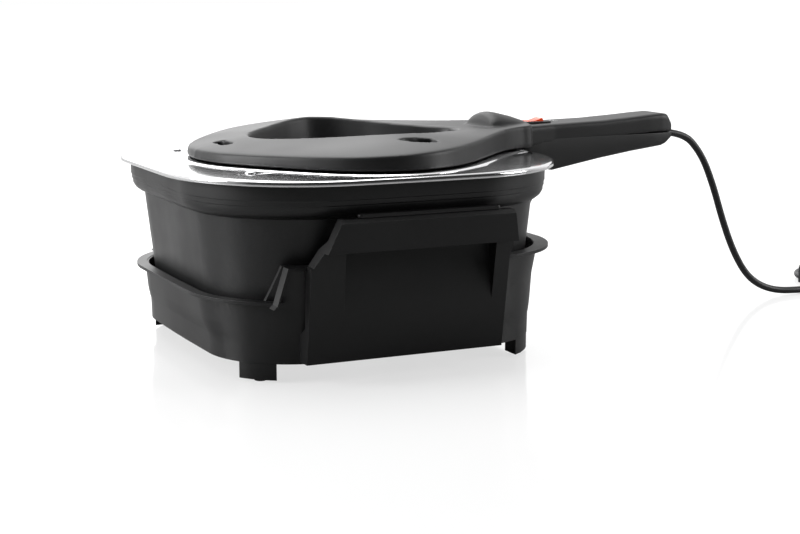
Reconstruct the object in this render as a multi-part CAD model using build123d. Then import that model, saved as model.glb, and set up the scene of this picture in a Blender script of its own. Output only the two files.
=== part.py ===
# Electric baking pot: a cast pot in a moulded stand, with a heated steel lid that lifts off by its long handle.
# Millimetres, +Z up, +X along the handle. Shapes are drawn about the pot's centre and then moved,
# so that the origin is under the middle of the whole product, on the surface that it stands on.
import os
from math import cos, pi, radians, sin, sqrt, tan

from build123d import *

os.makedirs("parts", exist_ok=True)

# Lid
lid_length = 330.0
lid_width = 339.0
lid_corner = 106.0
lid_end_bulge = 3.2
lid_side_bulge = 8.4
rim_seat_z = 154.0
lid_edge_thickness = 3.2
lid_sheet = 1.2
lid_skirt_drop = 1.1
lid_edge_band = 13.0
plateau_rise = 1.4
plateau_margin = 7.0
lid_screw_x = -108.8
lid_screw_y = 92.5

# Pot
pot_bottom_z = 30.0
pot_wall = 4.0
pot_floor = 5.0
wall_inset_top = 11.5
wall_slope = 5.0 / 55.0
band_bottom_z = 126.0
band_half_x = 156.0
band_half_y = 158.6
pot_corner = 100.0
corner_gain = 1.15
pot_end_bulge = 3.2
pot_side_bulge = 7.0
pot_base_round = 18.0
rim_width = 5.0
rib_y = 72.0
rib_root_x = 142.0
rib_end_x = 154.0
rib_low_z = 113.0

# Stand
foot_gap = 1.6
stand_half_x = 138.0
stand_half_y = 141.5
stand_bottom_z = 14.4
stand_wall = 3.0
stand_end_bulge = 3.2
stand_side_bulge = 5.0
stand_rings = ((0.0, 0.0, 0.0, 70.0), (31.0, 1.0, 1.0, 72.0), (34.0, 2.2, 2.2, 75.0), (41.5, 4.4, 4.1, 81.0),
               (44.0, 4.8, 4.5, 82.0), (64.0, 7.4, 6.9, 88.0), (93.0, 10.8, 10.2, 86.0))
ogee_low_z = 31.0
ogee_high_z = 44.0
low_lip_z = 64.0
high_lip_z = 89.0
low_lip_half_x = 152.0
low_lip_half_y = 155.5
low_lip_corner = 94.0
high_lip_half_x = 155.5
high_lip_half_y = 156.5
high_lip_corner = 86.0
strip_outer_half = 153.6
strip_inner_half = 143.6
lip_thickness = 2.6
deck_hole = 190.0
leg_reach = 34.0
pad_radius = 5.0
pad_inset = 26.2
pad_height = 3.4

# Panels and hand grips on the long sides of the stand
panel_left = -88.0
panel_right = 79.0
panel_set_back = 9.0
panel_lean_depth = 10.5
panel_bottom_z = 16.3
grip_left = -66.0
grip_right = 83.0
grip_depth = 10.8
grip_top_z = 128.0
grip_bottom_z = 103.0
grip_back_gap = 1.6
recess_low_z = 57.0
recess_depth = 11.0
recess_side_slope = 10.0
shoulder_z = 92.0
shoulder_left = -103.0
shoulder_run = 9.0
grip_pad_length = 120.0
grip_pad_width = 6.0
grip_pad_height = 3.4

# Cover ring on the lid, with its opening
cover_gap = 0.9
cover_wall = 2.6
cover_left = -125.0
cover_half = 150.0
cover_end_x = 166.0
cover_end_half = 30.0
cover_skirt = 11.0
skirt_inset = 2.0
crest_z = 182.0
crest_left_z = 175.4
crest_right_z = 174.8
opening_left = -73.0
opening_right = 116.0
opening_end_half = 9.0
opening_half = 87.0
opening_draft = 4.0
vent_end_x = -99.0
vent_side_x = 26.0
vent_side_y = 112.0
vent_length = 28.0
vent_width = 10.0

# Handle
handle_start_x = 169.5
handle_end_x = 331.0
parting_z = 165.0
handle_wall = 2.6
neck_half = 42.0
root_half = 24.0
grip_half = 21.0
tip_half = 12.5
handle_top_z = 177.0
handle_low_z = 136.0
tip_top_z = 173.5
tip_low_z = 155.5
exit_z = 164.0

# Hood and rocker switch
hood_left = 137.0
hood_right = 176.0
hood_half = 24.0
hood_top_z = 188.4
hood_end_z = 181.0
switch_x = 191.0
rocker_axis_z = 177.5
rocker_play = 0.3
rocker_radius = 8.3
rocker_width = 12.0
rocker_gap = 0.35
rocker_high_angle = 30.0
rocker_low_angle = 10.0
frame_length = 28.0
frame_width = 21.0
frame_height = 2.6

# Window, reflector and heater in the lid
window_x = 10.0
window_radius = 44.0
window_glass_thickness = 4.0
window_lap = 6.0
reflector_half = 146.0
reflector_corner = 92.0
reflector_depth = 10.0
reflector_sheet = 1.0
tube_radius = 3.2
tube_drop = 6.0
tube_half_x = 105.0
tube_half_y = 100.0
tube_end_x = 138.0
tube_end_y = 10.0
hole_play = 0.4

# Mains lead
cord_diameter = 6.5
relief_length = 22.0
relief_out = 4.5
coil_centre_x = 572.0
coil_centre_y = 36.0
coil_radius = 42.0
turn_gap = 0.5
coil_half_turns_in = 4
coil_half_turns_out = 3
tie_sheet = 0.8
tie_width = 9.0
plug_radius = 19.0
plug_length = 38.0
pin_radius = 2.4
pin_spacing = 19.0
pin_length = 19.0

cord_radius = cord_diameter / 2
lid_top_z = rim_seat_z + lid_edge_thickness
plateau_z = lid_top_z + plateau_rise
cover_low_z = plateau_z + cover_gap
crease_z = cover_low_z + cover_skirt
origin_x = (handle_end_x - lid_length / 2) / 2
layer_step = cord_diameter + turn_gap
grip_back_half = band_half_y + grip_back_gap
grip_front_half = grip_back_half + grip_depth
panel_high_half = grip_front_half - panel_set_back
panel_low_half = panel_high_half - panel_lean_depth

nodes = {}


def add(name, solid):
    nodes[name] = solid


def bulged(length, width, corner, end_bulge, side_bulge, z):
    """Face of a rounded rectangle whose ends and sides bow outwards."""
    hx, hy = length / 2, width / 2
    ex, ey = hx - end_bulge, hy - side_bulge
    corners = [(-ex, -ey), (ex, -ey), (ex, ey), (-ex, ey)]
    middles = [(0, -hy), (hx, 0), (0, hy), (-hx, 0)]
    sides = [ThreePointArc(corners[k], middles[k], corners[(k + 1) % 4]) for k in range(4)]
    face = make_face(sides)
    return Pos(0, 0, z) * fillet(face.vertices(), corner)


def lid_face(inset, z):
    return bulged(lid_length - 2 * inset, lid_width - 2 * inset, lid_corner - inset,
                  lid_end_bulge, lid_side_bulge, z)


def square_face(half_x, half_y, corner, z):
    return Pos(0, 0, z) * RectangleRounded(2 * half_x, 2 * half_y, corner)


def stack(faces):
    """Solid through level faces, lowest first."""
    return Solid.make_loft([face.outer_wire() if isinstance(face, Face) else face.faces()[0].outer_wire()
                            for face in faces], True)


def block(x0, x1, y0, y1, z0, z1):
    return Pos((x0 + x1) / 2, (y0 + y1) / 2, (z0 + z1) / 2) * Box(x1 - x0, y1 - y0, z1 - z0)


def post(x, y, z0, z1, radius):
    return Pos(x, y, (z0 + z1) / 2) * Cylinder(radius, z1 - z0)


def prism_xz(points, y0, y1):
    """Solid with an outline in X and Z, from y0 to y1."""
    outline = Polyline(*[(x, y0, z) for x, z in points], close=True)
    return extrude(make_face(outline), amount=y1 - y0, dir=(0, 1, 0))


def prism_yz(points, x0, x1):
    """Solid with an outline in Y and Z, from x0 to x1."""
    outline = Polyline(*[(x0, y, z) for y, z in points], close=True)
    return extrude(make_face(outline), amount=x1 - x0, dir=(1, 0, 0))


def tube(points, radii, radius):
    """Round wire along straight runs joined by arcs."""
    path = FilletPolyline(*points, radius=radii)
    start = path @ 0
    section = Plane(origin=start, z_dir=path % 0) * Circle(radius)
    solid = sweep(section, path=path)
    ideal = pi * radius ** 2 * path.length
    print(f"tube length {path.length:.1f} volume ratio {solid.volume / ideal:.4f}")
    return solid


# Pot
def wall_inset(z):
    return wall_inset_top + (band_bottom_z - z) * wall_slope


def pot_level(inset, z):
    """Level face of the pot, drawn in from the widest line of its band."""
    return bulged(2 * (band_half_x - inset), 2 * (band_half_y - inset), pot_corner - corner_gain * inset,
                  pot_end_bulge, pot_side_bulge, z)


base_levels = []
for step in range(5):
    turn = radians(90 * step / 4)
    base_levels.append((wall_inset(pot_bottom_z) + pot_base_round * (1 - sin(turn)),
                        pot_bottom_z + pot_base_round * (1 - cos(turn))))
band_levels = [(wall_inset_top, band_bottom_z), (wall_inset_top - 4.4, band_bottom_z + 1.6),
               (wall_inset_top - 7.6, band_bottom_z + 4), (1.8, band_bottom_z + 7.5),
               (1.6, band_bottom_z + 10.6), (0.9, band_bottom_z + 11.2),
               (0.8, band_bottom_z + 14.6), (0.2, band_bottom_z + 15.2), (0.0, rim_seat_z)]
pot_outside = stack([pot_level(inset, z) for inset, z in base_levels + band_levels])
inside_low = pot_bottom_z + pot_floor
pot_inside = stack([
    pot_level(wall_inset(pot_bottom_z) + pot_base_round, inside_low),
    pot_level(wall_inset(inside_low) + pot_wall + 4, inside_low + 5),
    pot_level(wall_inset(inside_low + 14) + pot_wall, inside_low + 14),
    pot_level(wall_inset_top + pot_wall, band_bottom_z + 1),
    pot_level(rim_width + 1.5, band_bottom_z + 9),
    pot_level(rim_width, band_bottom_z + 13),
    pot_level(rim_width, rim_seat_z + 1)])
ribs = [prism_xz([(rib_root_x, rib_low_z), (rib_root_x + 4, rib_low_z), (rib_end_x, band_bottom_z + 1),
                  (rib_end_x, band_bottom_z + 6), (rib_root_x, band_bottom_z + 6)], y - 2, y + 2)
        for y in (-rib_y, rib_y)]
add("pot_body", pot_outside + ribs[0] + ribs[1] - pot_inside)

# Stand
def stand_face(z, inset=0.0, ring_z=None):
    """Level face of the stand's wall at one height, between the listed rings."""
    at = z if ring_z is None else ring_z
    low, high = next((a, b) for a, b in zip(stand_rings, stand_rings[1:]) if at <= b[0])
    share = (at - low[0]) / (high[0] - low[0])
    grow_x, grow_y, corner = (a + share * (b - a) for a, b in zip(low[1:], high[1:]))
    return bulged(2 * (stand_half_x + grow_x - inset), 2 * (stand_half_y + grow_y - inset), corner - inset,
                  stand_end_bulge, stand_side_bulge, z)


def stand_shell_stack(top_z, inset, low_z):
    heights = [low_z] + [ring[0] for ring in stand_rings if low_z < ring[0] < top_z] + [top_z]
    return stack([stand_face(z, inset, max(0.0, min(z, stand_rings[-1][0]))) for z in heights])


def lip(half_x, half_y, corner, z, x0, x1):
    outside = bulged(2 * half_x, 2 * half_y, corner, stand_end_bulge, stand_side_bulge, z - lip_thickness)
    ring = (extrude(outside, lip_thickness)
            - extrude(stand_face(z - lip_thickness - 1, stand_wall / 2, z), lip_thickness + 2))
    return ring & block(x0, x1, -250, 250, z - 10, z + 10)


wall_all = (stand_shell_stack(shoulder_z, 0, stand_bottom_z)
            - stand_shell_stack(shoulder_z + 1, stand_wall, stand_bottom_z - 1))
low_side = prism_xz([(-250, low_lip_z - 0.5), (shoulder_left - shoulder_run, low_lip_z - 0.5),
                     (shoulder_left, shoulder_z), (shoulder_left, 250), (-250, 250)], -250, 250)
stand = wall_all - low_side - block(grip_left, 250, -250, 250, high_lip_z, 250)
stand += lip(low_lip_half_x, low_lip_half_y, low_lip_corner, low_lip_z, -250, shoulder_left + 1)
stand += lip(high_lip_half_x, high_lip_half_y, high_lip_corner, high_lip_z, panel_right - 2, 250)
deck_top = pot_bottom_z
deck = (extrude(stand_face(deck_top - stand_wall, 1.0), stand_wall)
        - extrude(square_face(deck_hole / 2, deck_hole / 2, 20, deck_top - 10), 20))
stand += deck
for sx in (-1, 1):
    for sy in (-1, 1):
        corner = (stand_shell_stack(ogee_high_z + 1, 0, stand_bottom_z)
                  & block(*sorted((sx * (stand_half_x - leg_reach), sx * 250)),
                          *sorted((sy * (stand_half_y - leg_reach), sy * 250)), 0, deck_top - stand_wall))
        leg = (extrude(stand_face(foot_gap, 0, 0), stand_bottom_z - foot_gap + 0.5)
               & block(*sorted((sx * (stand_half_x - leg_reach), sx * 250)),
                       *sorted((sy * (stand_half_y - leg_reach), sy * 250)), 0, 60))
        hollow = block(*sorted((sx * (stand_half_x - leg_reach - 1), sx * (stand_half_x - 32))),
                       *sorted((sy * (stand_half_y - leg_reach - 1), sy * (stand_half_y - 32))), -1, 100)
        core = corner - extrude(stand_face(foot_gap, stand_wall, 0), 60)
        foot = (leg - hollow) - (extrude(stand_face(0, 14), 60) & block(
            *sorted((sx * (stand_half_x - leg_reach - 2), sx * (stand_half_x - 16))),
            *sorted((sy * (stand_half_y - leg_reach - 2), sy * (stand_half_y - 16))), -1, 60))
        stand += foot + core

panel_lean = (panel_high_half - panel_low_half) / (shoulder_z - panel_bottom_z)


def panel_y(z):
    return panel_low_half + (z - panel_bottom_z) * panel_lean



def side_grip(mirror):
    """Panel, shoulders and hand grip on one long side, with its finger recess."""
    back = band_half_y - 8.6
    face_points = [(back - 22, panel_bottom_z), (panel_low_half, panel_bottom_z),
                   (panel_y(grip_bottom_z), grip_bottom_z), (grip_front_half, grip_bottom_z),
                   (grip_front_half, grip_top_z - 3), (grip_front_half - 3, grip_top_z),
                   (grip_back_half, grip_top_z), (grip_back_half, 112), (back, 104),
                   (back - 2, ogee_high_z), (back - 22, ogee_low_z)]
    body = prism_yz([(-y, z) for y, z in face_points], panel_left, panel_right + 4)
    sides = prism_xz([(panel_left, panel_bottom_z), (panel_right, panel_bottom_z),
                      (panel_right + 1, high_lip_z), (grip_right, grip_bottom_z),
                      (grip_right - 3, grip_top_z), (grip_left, grip_top_z),
                      (grip_left - 12, grip_bottom_z), (grip_left - 20, shoulder_z), (panel_left, shoulder_z)],
                     -260, 0)
    body = body & sides
    core_points = [(back - 30, panel_bottom_z - 1), (panel_low_half - stand_wall, panel_bottom_z - 1),
                   (panel_y(recess_low_z) - stand_wall, recess_low_z),
                   (back + 0.4, 84), (back - 30, 84)]
    core = prism_yz([(-y, z) for y, z in core_points], panel_left + stand_wall, panel_right - stand_wall)
    body -= core
    strip = prism_xz([(shoulder_left - shoulder_run - 3, low_lip_z - lip_thickness),
                      (shoulder_left - shoulder_run, low_lip_z - lip_thickness),
                      (shoulder_left + 2, shoulder_z - lip_thickness), (panel_left + 3, shoulder_z - lip_thickness),
                      (panel_left + 3, shoulder_z), (shoulder_left, shoulder_z),
                      (shoulder_left - shoulder_run, low_lip_z)], -strip_outer_half, -strip_inner_half)
    side = body + strip
    top_left = (grip_left - 3, grip_bottom_z)
    inner = [(top_left[0], -260), (grip_right - 7, -260), (grip_right - 7 - recess_side_slope, -150),
             (top_left[0] + recess_side_slope, -150)]
    scoop_points = [(panel_y(recess_low_z) + 1, recess_low_z - 2), (panel_y(recess_low_z), recess_low_z),
                    (panel_y(84) - recess_depth + 3, 84), (panel_y(96) - recess_depth, 96),
                    (panel_y(96) - recess_depth + 0.5, grip_bottom_z + 6), (grip_front_half - 8, grip_bottom_z + 6),
                    (grip_front_half - 7, grip_bottom_z - 0.01), (200, grip_bottom_z - 0.01), (200, recess_low_z - 2)]
    scoop = prism_yz([(-y, z) for y, z in scoop_points], -200, 200)
    plan = extrude(make_face(Polyline(*inner, close=True)), 200)
    side -= scoop & plan
    return side if not mirror else side.mirror(Plane.XZ)


stand += side_grip(False) + side_grip(True)
pot_room = stack([pot_level(wall_inset(z) - 1.2, z) for z in (pot_bottom_z + 20, band_bottom_z - 4)])
band_room = extrude(pot_level(-1.2, band_bottom_z - 7), 60)
stand -= pot_room + band_room
for sx in (-1, 1):
    for sy in (-1, 1):
        stand -= post(sx * (stand_half_x - pad_inset), sy * (stand_half_y - pad_inset), 0, foot_gap + 2, pad_radius + 0.1)
add("stand_shell", stand)

add("foot_pads", Compound([post(sx * (stand_half_x - pad_inset), sy * (stand_half_y - pad_inset), 0, pad_height, pad_radius)
                           .solid() for sx in (-1, 1) for sy in (-1, 1)]))
grip_middle = (grip_left + grip_right) / 2
grip_pad_y = grip_front_half - 6.0
for name, side in (("front_grip_pad", -1), ("rear_grip_pad", 1)):
    pad = Pos(grip_middle, side * grip_pad_y, grip_top_z) * extrude(
        RectangleRounded(grip_pad_length, grip_pad_width, grip_pad_width / 2 - 0.1), grip_pad_height)
    add(name, pad)

# Cover ring
def teardrop(points, end_half, z):
    """Face inside a mirrored curve that starts at the left tip and ends at a flat right end."""
    upper = Spline(*[(x, y) for x, y in points], tangents=[(0, 1), (1, -0.35)])
    lower = Spline(*[(x, -y) for x, y in reversed(points)], tangents=[(-1, -0.35), (0, 1)])
    end = Line((points[-1][0], points[-1][1]), (points[-1][0], -points[-1][1]))
    return Pos(0, 0, z) * make_face([upper, end, lower])


def cover_outline(inset, z):
    shape = [(0.0, 0.0), (0.05, 0.33), (0.17, 0.70), (0.29, 0.935), (0.45, 1.0), (0.60, 0.925),
             (0.72, 0.73), (0.85, 0.45)]
    length = cover_end_x - cover_left - 2 * inset
    points = [(cover_left + inset + u * length, v * (cover_half - inset)) for u, v in shape]
    points.append((cover_end_x - inset, cover_end_half - inset))
    return teardrop(points, cover_end_half - inset, z)


def opening_outline(grow, z):
    shape = [(0.0, 0.0), (0.095, 0.45), (0.254, 0.77), (0.45, 1.0), (0.66, 0.80), (0.84, 0.43)]
    length = opening_right - opening_left + 2 * grow
    points = [(opening_left - grow + u * length, v * (opening_half + grow)) for u, v in shape]
    points.append((opening_right + grow, opening_end_half + grow))
    return teardrop(points, opening_end_half + grow, z)


def profile_under_crest(drop):
    """Everything below the line of the crest, seen from the side."""
    crest = ThreePointArc((opening_left, 0, crest_left_z - drop), (10, 0, crest_z - drop),
                          (opening_right, 0, crest_right_z - drop))
    left = Line((-200, 0, crest_left_z - drop - 3), (opening_left, 0, crest_left_z - drop))
    right = Line((opening_right, 0, crest_right_z - drop), (220, 0, crest_right_z - drop + 1))
    rest = Polyline((220, 0, crest_right_z - drop + 1), (220, 0, 100), (-200, 0, 100),
                    (-200, 0, crest_left_z - drop - 3))
    face = make_face([left, crest, right, rest])
    return extrude(face, amount=200, dir=(0, 1, 0)) + extrude(face, amount=200, dir=(0, -1, 0))


ring_top_z = crest_z + 4
ring_outside = stack([cover_outline(0, cover_low_z), cover_outline(skirt_inset, crease_z),
                      opening_outline(0.8, ring_top_z)]) & profile_under_crest(0)
ring_hollow = stack([cover_outline(cover_wall, cover_low_z - 1), cover_outline(cover_wall + skirt_inset,
                                                                               crease_z - cover_wall),
                     opening_outline(0.8, ring_top_z - cover_wall)]) & profile_under_crest(cover_wall)
opening_cut = stack([opening_outline(-opening_draft, cover_low_z - 2), opening_outline(0, ring_top_z + 1)])
opening_wall = stack([opening_outline(cover_wall - opening_draft, cover_low_z - 2),
                      opening_outline(cover_wall, ring_top_z + 1)])
ring = ring_outside - (ring_hollow - opening_wall) - opening_cut


def handle_section(x, half, low, high, corner):
    return Plane.YZ.offset(x) * (Pos(0, (low + high) / 2) * RectangleRounded(2 * half, high - low, corner))


def handle_form(inset):
    end = handle_end_x - inset
    return stack([handle_section(handle_start_x + inset, root_half - inset, 150 + inset, 176 - inset, 5),
                  handle_section(186, root_half - 1.5 - inset, 139 + inset, 176.6 - inset, 5),
                  handle_section(202, grip_half + 0.5 - inset, handle_low_z + inset, handle_top_z - inset, 5),
                  handle_section(250, grip_half - 0.5 - inset, 144 + inset, handle_top_z + 0.6 - inset, 5),
                  handle_section(304, grip_half - 2 - inset, 150.8 + inset, handle_top_z + 4.2 - inset, 5),
                  handle_section(end - 9, 17 - inset, 153.0 + inset, handle_top_z + 4.6 - inset, 5),
                  handle_section(end, tip_half - inset, tip_low_z + inset, tip_top_z - inset, 4)])


def neck_form(inset):
    return stack([handle_section(opening_right + inset + 3, neck_half + 6 - inset, cover_low_z - inset, 172.6 - inset, 3),
                  handle_section(hood_left, neck_half - 8 - inset, cover_low_z - inset, 173.6 - inset, 3),
                  handle_section(handle_start_x + 0.5, root_half + 1 - inset, cover_low_z - inset, 176 - inset, 3)])


upper = block(-300, 400, -300, 300, parting_z, 300)
handle_full = handle_form(0)
handle_room = handle_form(handle_wall)
cover = ring + (neck_form(0) - opening_cut) + (handle_full & upper)
cover -= neck_form(handle_wall) - opening_wall
cover -= handle_room
cover -= ring_hollow - opening_wall
cover -= block(handle_start_x - 8, handle_start_x + 8, -16, 16, cover_low_z + 2, 173)
slot = Pos(vent_end_x, 0, 160) * extrude(Rotation(0, 0, 90) * SlotOverall(vent_length, vent_width), 40)
cover -= slot
for side in (-1, 1):
    side_slot = Pos(vent_side_x, side * vent_side_y, 160) * extrude(
        Rotation(0, 0, -14 * side) * SlotOverall(vent_length, vent_width), 40)
    cover -= side_slot
boss_spots = [(-84, 46), (-84, -46), (84, 72), (84, -72)]
boss_radius = 4.5
screw_radius = 1.7
for x, y in boss_spots:
    boss = post(x, y, plateau_z, 200, boss_radius) & (ring_outside + block(-300, 300, -300, 300, 100, cover_low_z))
    cover += boss
    cover -= post(x, y, 100, plateau_z + 9, screw_radius + 0.05)
cover -= block(switch_x - frame_length / 2 + 1.5, switch_x + frame_length / 2 - 1.5, -frame_width / 2 + 1.5,
               frame_width / 2 - 1.5, 172, 200)
frame_low = handle_top_z - 0.8
cover -= block(switch_x - frame_length / 2, switch_x + frame_length / 2, -frame_width / 2, frame_width / 2,
               frame_low, 200)
relief_radius = 5.2
exit_hole = Pos(handle_end_x, 0, exit_z) * Rotation(0, 90, 0) * Cylinder(relief_radius, 40)
cover -= exit_hole

base = handle_full - handle_room - upper - neck_form(0)
wire_gate = block(handle_start_x - 8, handle_start_x + 8, -16, 16, cover_low_z + 2, 173)
shelf = block(217, 246, -250, 250, 100, 152) & handle_full
clamp_shelf = block(276, 300, -250, 250, 100, exit_z - cord_radius) & handle_full
base += shelf + (clamp_shelf - upper)
base -= exit_hole + wire_gate
base_screw_spots = [(210, 0), (262, 0)]
for x, y in base_screw_spots:
    column = post(x, y, 100, parting_z, 4.2) & handle_full
    cap = post(x, y, parting_z, 200, 4.2) & handle_full
    base += column
    cover += cap
    base -= post(x, y, 100, parting_z + 1, screw_radius + 0.05)
    base -= post(x, y, 100, parting_z - 12, 3.4)
    cover -= post(x, y, parting_z - 1, parting_z + 7, screw_radius + 0.05)

# Wire hook under the root of the handle
hook_x = handle_start_x + 3.5
hook_points = [(hook_x, -6.0, 151.0), (hook_x, -6.0, 137.0), (hook_x, 6.0, 137.0), (hook_x, 6.0, 151.0)]
add("lid_hook", tube(hook_points, [4, 4], 1.2))
base -= tube(hook_points, [4, 4], 1.25)
add("lid_cover", cover)
add("handle_base", base)


def screw(x, y, head_low, tip, head_radius, head_height):
    return post(x, y, head_low, head_low + head_height, head_radius) + post(x, y, head_low, tip, screw_radius)


add("handle_screws", Compound([screw(x, y, parting_z - 14.5, parting_z + 6, 3.2, 2.5).solid()
                               for x, y in base_screw_spots]))

# Hood before the switch
def hood_form(inset):
    faces = []
    for x, half, top in ((hood_left, hood_half, hood_top_z), (hood_left + 22, hood_half - 1, hood_top_z - 2.6),
                         (hood_right, hood_half - 5, hood_end_z)):
        half, top, low = half - inset, top - inset, 165.0
        side = Polyline((x, -half, 173), (x, -half, low), (x, half, low), (x, half, 173))
        arch = ThreePointArc((x, half, 173), (x, 0, top), (x, -half, 173))
        faces.append(make_face([side, arch]))
    return stack(faces)


hood = hood_form(0) - hood_form(handle_wall) - neck_form(0) - handle_full - ring_outside
hood_front = (hood_form(0) & block(hood_left, hood_left + handle_wall, -60, 60, 100, 250)) - neck_form(0) - ring_outside
hood_back = (hood_form(0) & block(hood_right - handle_wall, hood_right, -60, 60, 100, 250)) - neck_form(0) - handle_full
add("handle_hood", (hood + hood_front + hood_back))

# Rocker switch
frame_top = frame_low + frame_height
window_half_x = rocker_radius + rocker_gap
window_half_y = rocker_width / 2 + rocker_gap
frame = block(switch_x - frame_length / 2, switch_x + frame_length / 2, -frame_width / 2, frame_width / 2,
              frame_low, frame_top)
frame = fillet(frame.edges().filter_by(Axis.Z), 2)
switch_low = rocker_axis_z - 18
collar = block(switch_x - frame_length / 2 + 2, switch_x + frame_length / 2 - 2, -frame_width / 2 + 2,
               frame_width / 2 - 2, rocker_axis_z - 5, frame_low)
window = block(switch_x - window_half_x, switch_x + window_half_x, -window_half_y, window_half_y, 160, 200)
add("switch_frame", frame + collar - window)
rocker_well = Pos(switch_x, 0, rocker_axis_z) * Rotation(90, 0, 0) * Cylinder(rocker_radius + rocker_play,
                                                                             rocker_width + 2 * rocker_play)
add("switch_body", block(switch_x - 11, switch_x + 11, -8, 8, switch_low, rocker_axis_z - 5) - rocker_well)


def rocker_point(angle, radius=rocker_radius):
    return (switch_x + radius * cos(radians(angle)), rocker_axis_z + radius * sin(radians(angle)))


high, low = rocker_point(rocker_high_angle), rocker_point(180 - rocker_low_angle)
rocker_cut = prism_xz([low, (switch_x, rocker_axis_z + 1.9), high, (switch_x + 20, rocker_axis_z + 10),
                       (switch_x + 20, rocker_axis_z + 30), (switch_x - 20, rocker_axis_z + 30),
                       (switch_x - 20, low[1])], -10, 10)
rocker = (Pos(switch_x, 0, rocker_axis_z) * Rotation(90, 0, 0) * Cylinder(rocker_radius, rocker_width)
          - rocker_cut - block(switch_x - 20, switch_x + 20, -10, 10, 100, rocker_axis_z - 4.4))
add("switch_rocker", rocker)
add("switch_tabs", Compound([block(switch_x + dx - 0.4, switch_x + dx + 0.4, -3, 3, switch_low - 7, switch_low).solid()
                             for dx in (-7, 0, 7)]))

# Lid sheet, with the plateau that carries the cover and the holes through it
lid_outside = stack([lid_face(0, rim_seat_z - lid_skirt_drop), lid_face(0, lid_top_z - 1.6),
                     lid_face(0.5, lid_top_z - 0.7), lid_face(2.2, lid_top_z)])
plateau = stack([cover_outline(-plateau_margin, lid_top_z - 0.2), cover_outline(-plateau_margin + 2, plateau_z)])
plateau &= extrude(lid_face(9, lid_top_z - 1), 5)
skirt_room = extrude(lid_face(lid_sheet, rim_seat_z - 10), 10)
pocket = extrude(lid_face(lid_edge_band, rim_seat_z - 10), lid_top_z - lid_sheet - rim_seat_z + 10)
lid = lid_outside + plateau - skirt_room - pocket
window_hole = window_radius - window_lap
lid -= post(window_x, 0, 100, 200, window_hole)
for y in (-tube_end_y, tube_end_y):
    lid -= post(tube_end_x, y, 100, 200, tube_radius + hole_play)
for x, y in boss_spots:
    lid -= post(x, y, 100, 200, screw_radius + 0.2)
for y in (-lid_screw_y, lid_screw_y):
    lid -= post(lid_screw_x, y, lid_top_z - 0.5, 200, 5.2)
    lid -= post(lid_screw_x, y, 100, 200, screw_radius + 0.2)
add("lid_shell", lid)
under_z = lid_top_z - lid_sheet

pan_level = under_z - reflector_depth


def pan_face(inset, z):
    return bulged(2 * (reflector_half - inset), 2 * (reflector_half - inset), reflector_corner - inset,
                  pot_end_bulge, pot_end_bulge, z)


pan_outside = (extrude(pan_face(0, under_z - reflector_sheet), reflector_sheet)
               + stack([pan_face(11, pan_level), pan_face(5, under_z)]))
pan_inside = stack([pan_face(12, pan_level + reflector_sheet), pan_face(6, under_z + 0.01)])
pan = pan_outside - pan_inside
for sx in (-1, 1):
    for y in (-lid_screw_y, lid_screw_y):
        if sx < 0:
            pan += post(lid_screw_x, y, pan_level, under_z, 5)
            pan -= post(lid_screw_x, y, pan_level - 1, under_z + 1, screw_radius + 0.1)
pan -= post(window_x, 0, 100, 200, window_hole)
for y in (-tube_end_y, tube_end_y):
    pan -= post(tube_end_x, y, 100, 200, tube_radius + hole_play)
add("reflector_pan", pan)
sleeve = (post(window_x, 0, pan_level + reflector_sheet, under_z, window_hole + 1.4)
          - post(window_x, 0, 100, 200, window_hole))
add("window_sleeve", sleeve)
gasket = (post(window_x, 0, plateau_z, plateau_z + window_glass_thickness + 1.6, window_radius + 4.5)
          - post(window_x, 0, plateau_z + 1, plateau_z + 1 + window_glass_thickness, window_radius)
          - post(window_x, 0, 100, 200, window_hole + 1))
in_opening = stack([opening_outline(-opening_draft - 1, 150), opening_outline(-opening_draft - 1, 190)])
lid_flat = block(-300, 300, -300, 300, plateau_z, 200)
add("window_gasket", gasket & lid_flat & in_opening)
add("window_glass", post(window_x, 0, plateau_z + 1, plateau_z + 1 + window_glass_thickness, window_radius))

add("cover_screws", Compound([screw(x, y, under_z - 2.4, plateau_z + 8, 3.4, 2.4).solid() for x, y in boss_spots]))
add("lid_screws", Compound([(post(lid_screw_x, y, lid_top_z - 0.5, lid_top_z + 1.5, 4.6)
                             + post(lid_screw_x, y, pan_level - 2, lid_top_z, screw_radius)).solid()
                            for y in (-lid_screw_y, lid_screw_y)]))

tube_z = pan_level - tube_drop
tube_end_z = plateau_z + 5.0
heater_points = [(tube_end_x, -tube_end_y, tube_end_z), (tube_end_x, -tube_end_y, tube_z),
                 (tube_end_x - 4, -tube_half_y, tube_z), (-tube_half_x, -tube_half_y, tube_z),
                 (-tube_half_x, tube_half_y, tube_z), (tube_end_x - 4, tube_half_y, tube_z),
                 (tube_end_x, tube_end_y, tube_z), (tube_end_x, tube_end_y, tube_end_z)]
add("heater_tube", tube(heater_points, [5.5, 38, 48, 48, 38, 5.5], tube_radius))
clips = []
for x, y in ((-40, tube_half_y), (-40, -tube_half_y), (55, tube_half_y), (55, -tube_half_y)):
    bracket = block(x - 5, x + 5, y - 7, y + 7, tube_z - tube_radius - 1.2, pan_level)
    bracket -= Pos(x, y, tube_z) * Rotation(0, 90, 0) * Cylinder(tube_radius + 0.05, 30)
    clips.append(bracket.solid())
add("heater_clips", Compound(clips))
add("heater_terminals", Compound([block(tube_end_x - 2.7, tube_end_x + 2.7, y - 0.7, y + 0.7, tube_end_z,
                                        tube_end_z + 3.5).solid() for y in (-tube_end_y, tube_end_y)]))
add("thermal_cutout", post(104, -60, plateau_z, plateau_z + 6, 6.5))

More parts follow.
